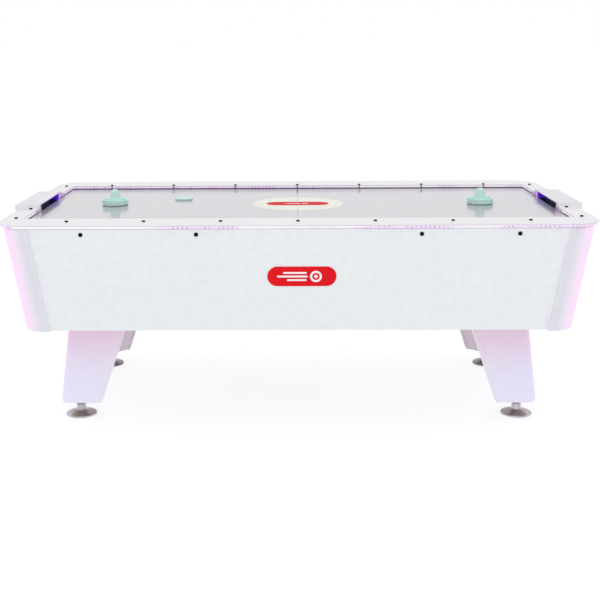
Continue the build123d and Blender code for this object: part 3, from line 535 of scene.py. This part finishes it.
def lathe(bm, profile, centre, segments=96):
    """Turns a closed profile of (radius, height) in millimetres round an upright axis."""
    rings = []
    for r, z in profile:
        if r < 1e-6:
            rings.append([bm.verts.new((centre[0], centre[1], centre[2] + z * MM))])
            continue
        ring = []
        for i in range(segments):
            a = 2 * math.pi * i / segments
            ring.append(bm.verts.new((centre[0] + r * MM * math.cos(a), centre[1] + r * MM * math.sin(a),
                                      centre[2] + z * MM)))
        rings.append(ring)
    pairs = list(zip(rings, rings[1:]))
    if len(rings[0]) > 1:
        pairs.append((rings[-1], rings[0]))
    for a, b in pairs:
        for i in range(segments):
            j = (i + 1) % segments
            corners = [a[i % len(a)], a[j % len(a)], b[j % len(b)], b[i % len(b)]]
            corners = list(dict.fromkeys(corners))
            if len(corners) > 2:
                bm.faces.new(corners)


def slab(bm, outline, place, bottom, top, soften=0.0):
    """A closed plate from a flat outline in millimetres, set by the matrix place, its rim softened."""
    centre = sum((Vector(p) for p in outline), Vector((0, 0))) / len(outline)
    levels = [(bottom, 0.0), (top - soften, 0.0), (top, soften)] if soften else [(bottom, 0.0), (top, 0.0)]
    rings = []
    for z, inset in levels:
        ring = []
        for p in outline:
            v = Vector(p)
            away = v - centre
            v = v - away.normalized() * inset
            ring.append(bm.verts.new(place @ Vector((v.x * MM, v.y * MM, z * MM))))
        rings.append(ring)
    bm.faces.new(rings[0][::-1])
    bm.faces.new(rings[-1])
    for a, b in zip(rings, rings[1:]):
        for i in range(len(a)):
            j = (i + 1) % len(a)
            bm.faces.new((a[i], a[j], b[j], b[i]))


def stadium(length, height, x=0.0, y=0.0, steps=20):
    """Outline of a plate with two round ends."""
    r = height / 2
    straight = length / 2 - r
    return arc((x + straight, y), r, -90, 90, steps) + arc((x - straight, y), r, 90, 270, steps)


def ring_plate(bm, outer, inner, x, y, place, bottom, top, steps=48):
    """A flat ring standing on a plate."""
    rings = []
    for r, z in ((outer, bottom), (outer, top), (inner, top), (inner, bottom)):
        points = [(x + r * math.cos(2 * math.pi * i / steps), y + r * math.sin(2 * math.pi * i / steps))
                  for i in range(steps)]
        rings.append([bm.verts.new(place @ Vector((px * MM, py * MM, z * MM))) for px, py in points])
    for a, b in zip(rings, rings[1:] + rings[:1]):
        for i in range(steps):
            j = (i + 1) % steps
            bm.faces.new((a[i], a[j], b[j], b[i]))


# ------------------------------------------------------------------ stage, camera and lights
FLOOR_HALF = 400.0
FLOOR_GAP = 0.0005


def make_stage():
    """A wide pale floor just under the feet."""
    bm = bmesh.new()
    bmesh.ops.create_grid(bm, x_segments=40, y_segments=40, size=FLOOR_HALF)
    mesh = bpy.data.meshes.new("floor")
    bm.to_mesh(mesh)
    bm.free()
    floor = bpy.data.objects.new("floor", mesh)
    floor.location.z = cad_low.z - FLOOR_GAP
    SCENE.collection.objects.link(floor)
    g = Graph("studio_floor")
    tone = g.mix(g.noise(0.8, 3.0), (0.285, 0.305, 0.335), (0.265, 0.285, 0.315))
    g.set(Base_Color=tone, Roughness=g.span(g.noise(30.0), 0.3, 0.7, 0.75, 0.85),
          Emission_Color=g.mix(g.noise(0.5), (0.775, 0.78, 0.785), (0.785, 0.79, 0.79)),
          Emission_Strength=1.0, Specular_IOR_Level=0.1)
    mesh.materials.append(g.material)


def make_world():
    """White surround, grey and then pink towards the table's two ends."""
    world = bpy.data.worlds.new("studio")
    SCENE.world = world
    world.use_nodes = True
    tree = world.node_tree
    background = tree.nodes["Background"]
    direction = tree.nodes.new("ShaderNodeTexCoord").outputs["Generated"]
    parts = tree.nodes.new("ShaderNodeSeparateXYZ")
    tree.links.new(direction, parts.inputs[0])
    reach = tree.nodes.new("ShaderNodeMath")
    reach.operation = "ABSOLUTE"
    tree.links.new(parts.outputs[0], reach.inputs[0])
    ramp = tree.nodes.new("ShaderNodeValToRGB")
    tree.links.new(reach.outputs[0], ramp.inputs[0])
    stops = [(0.0, (1.0, 1.0, 1.0)), (0.42, (1.0, 1.0, 1.0)), (0.62, (0.66, 0.66, 0.70)),
             (0.78, (0.72, 0.62, 0.80)), (0.93, (1.0, 0.66, 0.96)), (1.0, (1.0, 0.66, 0.96))]
    elements = ramp.color_ramp.elements
    while len(elements) < len(stops):
        elements.new(0.5)
    for element, (position, colour) in zip(elements, stops):
        element.position = position
        element.color = (*colour, 1.0)
    height = tree.nodes.new("ShaderNodeMapRange")
    height.inputs["From Min"].default_value = 0.35
    height.inputs["From Max"].default_value = 0.75
    tree.links.new(parts.outputs[2], height.inputs["Value"])
    blend = tree.nodes.new("ShaderNodeMix")
    blend.data_type = "RGBA"
    tree.links.new(height.outputs[0], blend.inputs[0])
    tree.links.new(ramp.outputs[0], blend.inputs[6])
    blend.inputs[7].default_value = (1.0, 1.0, 1.0, 1.0)
    tree.links.new(blend.outputs[2], background.inputs["Color"])
    background.inputs["Strength"].default_value = 1.0


def area_light(name, place, target, size, power, colour):
    data = bpy.data.lights.new(name, "AREA")
    data.shape = "RECTANGLE"
    data.size, data.size_y = size
    data.energy = power
    data.color = colour
    light = bpy.data.objects.new(name, data)
    SCENE.collection.objects.link(light)
    light.location = place
    light.rotation_mode = "QUATERNION"
    light.rotation_quaternion = (Vector(target) - Vector(place)).to_track_quat("-Z", "Y")
    light.visible_camera = False
    light.visible_glossy = False
    return light


def make_lights():
    for side in (-1, 1):
        area_light(f"side_glow_{side}", (side * 2.1, 0.0, 0.55), (side * 1.0, 0.0, 0.6),
                   (0.5, 0.9), 0.5, (1.0, 0.12, 0.6))


CAMERA_PLACE = Vector((-0.0109, -4.6003, 1.4648))
CAMERA_PITCH = math.radians(13.172)
CAMERA_YAW = math.radians(-0.867)
CAMERA_ROLL = math.radians(-0.345)
CAMERA_LENS = 66.0
CAMERA_SENSOR = 36.0
CAMERA_SHIFT = 0.035


def make_camera():
    """Looks over the front rail from the middle of the long side."""
    pitch, yaw, roll = CAMERA_PITCH, CAMERA_YAW, CAMERA_ROLL
    ahead = Vector((math.sin(yaw) * math.cos(pitch), math.cos(yaw) * math.cos(pitch), -math.sin(pitch)))
    right0 = Vector((math.cos(yaw), -math.sin(yaw), 0.0))
    up0 = right0.cross(ahead)
    right = right0 * math.cos(roll) + up0 * math.sin(roll)
    up = up0 * math.cos(roll) - right0 * math.sin(roll)
    data = bpy.data.cameras.new("camera")
    data.lens = CAMERA_LENS
    data.sensor_width = CAMERA_SENSOR
    data.shift_x = CAMERA_SHIFT
    camera = bpy.data.objects.new("camera", data)
    SCENE.collection.objects.link(camera)
    rotation = Matrix((right, up, -ahead)).transposed().to_4x4()
    camera.matrix_world = Matrix.Translation(CAMERA_PLACE) @ rotation
    SCENE.camera = camera


# ------------------------------------------------------------------ play pieces
def base_centre(node, base):
    """Middle of a node's box, at the height where the base node starts."""
    low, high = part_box(node)
    return (low.x + high.x) / 2, (low.y + high.y) / 2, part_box(base)[0].z


def make_striker(side):
    """Hat-shaped striker: a round knob inside a raised rim, on a felt pad."""
    centre = base_centre(f"{side}_striker", f"{side}_striker_felt")
    profile = [(0.0, 54.0), (6.0, 52.8), (10.0, 50.0), (14.0, 36.0), (18.6, 14.0), (21.0, 7.0),
               (42.0, 7.0), (45.5, 5.6), (48.6, 2.2), (49.6, 2.0)]
    profile += arc((51.5, 4.5), 2.5, -90, 0, 5)
    profile += arc((51.0, 21.0), 3.0, 0, 180, 14)
    dish = [(47.9, 20.4), (45.8, 15.0), (41.5, 11.2), (36.0, 10.0), (31.5, 11.2), (28.0, 15.5)]
    knob = [(25.2, 22.0), (22.6, 31.0), (20.3, 41.0), (18.4, 50.0), (15.8, 57.5), (12.0, 62.3), (7.0, 65.0),
            (2.5, 65.9)]
    profile += smooth_line(dish + knob, 5)
    profile += [(0.0, 66.0)]
    bm = bmesh.new()
    lathe(bm, profile, centre, 112)
    body = BODY_OF[f"{side}_striker"]
    new_piece(f"{side}_striker_turned", bm, "mint_plastic", body, [f"{side}_striker"], 50.0)
    bm = bmesh.new()
    lathe(bm, [(0.0, 0.0), (48.2, 0.0), (48.9, 0.5), (48.9, 1.6), (48.3, 2.0), (0.0, 2.0)], centre, 96)
    new_piece(f"{side}_striker_pad", bm, "felt", body, [f"{side}_striker_felt"], 50.0)


def make_puck():
    """Flat puck with a shallow groove round its rim."""
    centre = base_centre("puck", "puck")
    profile = [(0.0, 0.3), (30.5, 0.3), (31.2, 0.0), (36.4, 0.0)] + arc((36.5, 1.0), 1.0, -90, 0, 4)
    profile += [(37.5, 2.6), (37.2, 2.9), (37.2, 4.1), (37.5, 4.4)]
    profile += arc((36.5, 6.0), 1.0, 0, 90, 4)
    profile += [(31.2, 7.0), (30.5, 6.7), (0.0, 6.7)]
    bm = bmesh.new()
    lathe(bm, profile, centre, 112)
    new_piece("puck_turned", bm, "puck_plastic", BODY_OF["puck"], ["puck"], 60.0)


# ------------------------------------------------------------------ feet
RIDGES_START = 47.0
RIDGES_END = 137.0
RIDGE_PITCH = 1.75


def make_leveler(place):
    """Round foot with a neck and a ridged stem."""
    node = f"{place}_leveler"
    centre = base_centre(node, node)
    profile = [(0.0, 0.0), (60.5, 0.0), (61.6, 0.4), (62.0, 1.2), (62.0, 5.6), (61.6, 6.6), (60.4, 7.2),
               (59.6, 7.6)]
    cone = [(58.6, 8.6), (50.0, 10.6), (38.0, 13.4), (28.0, 16.6), (21.5, 19.8), (18.9, 22.6)]
    profile += smooth_line(cone, 6)
    profile += [(18.5, 24.0), (18.5, 44.8), (17.6, 46.0), (12.0, 46.0)]
    z = RIDGES_START
    while z < RIDGES_END:
        profile += [(11.9, z), (11.2, z + 0.75), (11.9, z + 1.5)]
        z += RIDGE_PITCH
    profile += [(11.6, 139.0), (10.6, 140.0), (0.0, 140.0)]
    bm = bmesh.new()
    lathe(bm, profile, centre, 96)
    new_piece(f"{node}_turned", bm, "foot_steel", BODY_OF[node], [node], 40.0)


# ------------------------------------------------------------------ field
HOLE_PITCH = 0.0254
HOLE_R = 0.0008
HOLE_DEPTH = 0.002
HOLE_LIFT = 0.00004
HOLE_SIDES = 6


def make_air_holes():
    """The drilled air holes, as short dark plugs whose tops sit just above the field: painted shade for the
    dark inside of each hole.
    """
    bm = bmesh.new()
    rail_x = CAP_HIGH.x - 0.08
    emblem_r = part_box("centre_emblem")[1].x + 0.014
    nx = int((rail_x - 0.03) / HOLE_PITCH)
    ny = int((INNER_Y - 0.02) / HOLE_PITCH)
    heights = (FIELD_TOP - HOLE_DEPTH, FIELD_TOP + HOLE_LIFT)
    angles = [2 * math.pi / HOLE_SIDES * k for k in range(HOLE_SIDES)]
    for ix in range(-nx, nx + 1):
        for iy in range(-ny, ny + 1):
            x, y = ix * HOLE_PITCH, (iy + 0.5) * HOLE_PITCH
            if abs(y) > INNER_Y - 0.015 or math.hypot(x, y) < emblem_r or abs(x) < 0.004:
                continue
            rings = []
            for z in heights:
                rings.append([bm.verts.new((x + HOLE_R * math.cos(a), y + HOLE_R * math.sin(a), z))
                              for a in angles])
            bm.faces.new(rings[0][::-1])
            bm.faces.new(rings[1])
            for k in range(HOLE_SIDES):
                j = (k + 1) % HOLE_SIDES
                bm.faces.new((rings[0][k], rings[0][j], rings[1][j], rings[1][k]))
    new_piece("field_air_holes", bm, "field_laminate", "table", (), 20.0, [HOLE_PAINTED_SHADE])


def icon(bm, place, scale, bottom, top):
    """A generic mark: a puck ring with three speed bars."""
    ring_plate(bm, 22 * scale, 14 * scale, 52 * scale, 0, place, bottom, top)
    slab(bm, stadium(13 * scale, 13 * scale, 52 * scale, 0, 16), place, bottom, top)
    for y, x0, x1 in ((14, -70, 18), (0, -92, 22), (-14, -56, 18)):
        bar = stadium((x1 - x0) * scale, 7 * scale, (x0 + x1) / 2 * scale, y * scale, 8)
        slab(bm, bar, place, bottom, top)


ICON_SMALL = 0.62


def make_marks():
    """The front badge and the field's label, each a red stadium with the generic icon."""
    low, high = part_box("front_badge")
    centre_z = (low.z + high.z) / 2
    foot_y = PANEL_THICKNESS - PANEL_HIGH.y
    slope = (-PANEL_LOW.y - foot_y) / (PANEL_HIGH.z - PANEL_LOW.z)
    lean = math.atan(slope)
    across = Vector((1, 0, 0))
    out = Vector((0, -math.cos(lean), -math.sin(lean)))
    up = out.cross(across)
    half_w = foot_y + slope * (centre_z - PANEL_LOW.z)
    centre = Vector(((low.x + high.x) / 2, -half_w, centre_z))
    place = Matrix.Translation(centre) @ Matrix((across, up, out)).transposed().to_4x4()
    bm = bmesh.new()
    slab(bm, stadium(256.0, 76.0, steps=32), place, 0.05, 2.0, 0.5)
    new_piece("front_badge_plate", bm, "badge_red", "table", ["front_badge"], 30.0)
    bm = bmesh.new()
    icon(bm, place, 1.0, 1.9, 2.25)
    new_piece("front_badge_icon", bm, "badge_red", "table", (), 30.0, [ICON_WHITE])

    place = Matrix.Translation((0.0, 0.0, FIELD_TOP))
    bm = bmesh.new()
    slab(bm, stadium(262.0, 100.0, steps=32), place, -0.2, 0.12)
    new_piece("emblem_label", bm, "badge_red", "table", (), 30.0)
    bm = bmesh.new()
    icon(bm, place, ICON_SMALL, 0.0, 0.2)
    new_piece("emblem_icon", bm, "emblem_cream", "table", (), 30.0, [ICON_WHITE])


# ------------------------------------------------------------------ cabinet, rails and goals
GOAL_HALF = 0.190
THROAT_HALF = 0.150


def paint_hood(face):
    """1 inside the goal, 2 on the rounded cheeks, 0 outside."""
    c = face.calc_center_median()
    n = face.normal
    x = abs(c.x)
    if c.z > HOOD_HIGH.z - 0.0025 or x < INNER_X + 0.0005 or abs(c.y) > GOAL_HALF + 0.0005:
        return 0
    if x > HOOD_HIGH.x - 0.002 and abs(n.x) > 0.5 and n.x * c.x > 0:
        return 0
    if abs(c.y) > THROAT_HALF - 0.0005 and abs(n.z) < 0.5 and x < INNER_X + 0.041:
        return 2
    if n.z > 0.5:
        return 0
    return 1


def make_cabinet():
    for row in ("front", "rear"):
        crisp(f"{row}_panel", 0.6)
        crisp(f"{row}_rail_cap", 0.7)
        crisp(f"{row}_light_guide", 0.4)
        for side in ("left", "right"):
            crisp(f"{row}_{side}_corner_post", 0.7)
            crisp(f"{row}_{side}_leg_shell", 0.7)
            make_leveler(f"{row}_{side}")
    for side in ("left", "right"):
        crisp(f"{side}_end_panel", 0.6)
        crisp(f"{side}_goal_hood", 0.5, 2, [MATERIALS["hood_plastic"], GOAL_CAVITY_PAINTED_LIGHT, GOAL_CHEEK_PAINTED_LIGHT], paint_hood)
        make_striker(side)
    crisp("field_board", 0.3)
    crisp("lock_nuts", 0.5)
    crisp("leg_backs", 0.4)
    crisp("bottom_panel", 0.8)
    crisp("intake_grille", 0.3)
    crisp("return_bezels", 0.5)
    crisp("inlet_plate", 0.4)
    crisp("power_inlet", 0.25)
    crisp("power_rocker", 0.4)


make_stage()
make_world()
make_lights()
make_camera()
make_cabinet()
make_puck()
make_air_holes()
make_marks()
